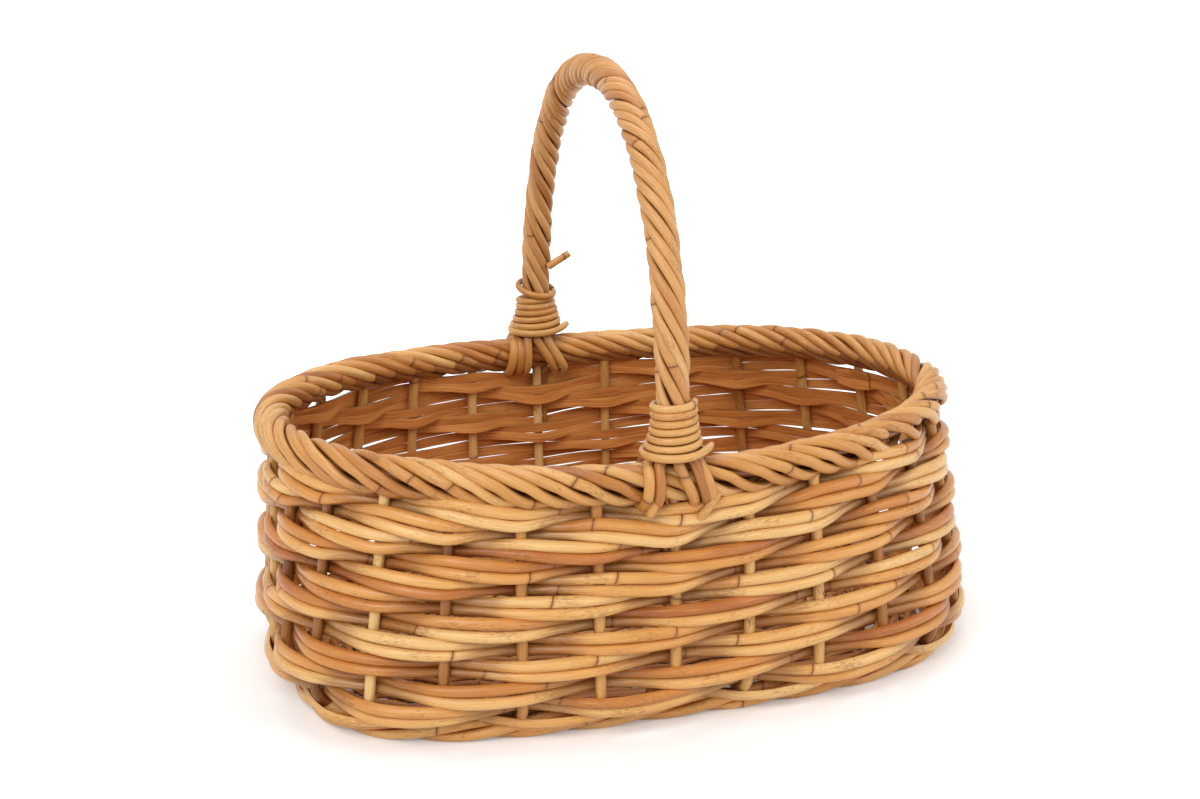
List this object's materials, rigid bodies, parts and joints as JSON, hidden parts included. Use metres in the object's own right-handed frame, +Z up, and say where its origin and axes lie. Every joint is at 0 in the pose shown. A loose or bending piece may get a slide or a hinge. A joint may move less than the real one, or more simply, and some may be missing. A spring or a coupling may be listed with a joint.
{
  "type": "oval foraging basket",
  "caption": "Oval woven cane basket with a roped rim and one fixed hoop handle across the middle, for gathering and carrying mushrooms.",
  "frame": {"origin": "on the floor, under the middle of the oval", "axes": "+X along the oval, +Y across it from the near side to the far side, along the hoop of the handle, +Z up"},
  "size_m": [0.46, 0.325, 0.3783],
  "materials": {
    "split_cane": "satin rattan bark outside, matt pith inside",
    "whole_cane": "satin rattan bark",
    "base_cane": "matt peeled cane"
  },
  "bodies": {
    "root": {"base_slath": "base_cane", "base_weave": "base_cane", "foot_wale": "split_cane", "stake_01": "whole_cane", "stake_02": "whole_cane", "stake_03": "whole_cane", "stake_04": "whole_cane", "stake_05": "whole_cane", "stake_06": "whole_cane", "stake_07": "whole_cane", "stake_08": "whole_cane", "stake_09": "whole_cane", "stake_10": "whole_cane", "stake_11": "whole_cane", "stake_12": "whole_cane", "stake_13": "whole_cane", "stake_14": "whole_cane", "stake_15": "whole_cane", "stake_16": "whole_cane", "stake_17": "whole_cane", "stake_18": "whole_cane", "stake_19": "whole_cane", "stake_20": "whole_cane", "stake_21": "whole_cane", "stake_22": "whole_cane", "stake_23": "whole_cane", "stake_24": "whole_cane", "stake_25": "whole_cane", "stake_26": "whole_cane", "stake_27": "whole_cane", "wale_pair_01": "split_cane", "wale_pair_02": "split_cane", "wale_pair_03": "split_cane", "wale_pair_04": "split_cane", "wale_pair_05": "split_cane", "wale_pair_06": "split_cane", "wale_pair_07": "split_cane", "wale_pair_08": "split_cane", "wale_pair_09": "split_cane", "wale_pair_10": "split_cane", "wale_pair_11": "split_cane", "wale_pair_12": "split_cane", "rope_border": "whole_cane", "handle_core": "whole_cane", "handle_rope": "whole_cane", "near_strand_leg_1": "whole_cane", "near_strand_leg_2": "whole_cane", "near_strand_leg_3": "whole_cane", "near_strand_leg_4": "whole_cane", "near_collar": "whole_cane", "far_strand_leg_1": "whole_cane", "far_strand_leg_2": "whole_cane", "far_strand_leg_3": "whole_cane", "far_strand_leg_4": "whole_cane", "far_collar": "whole_cane", "near_liner_end": "base_cane", "far_liner_end": "base_cane"}
  },
  "joints": []
}
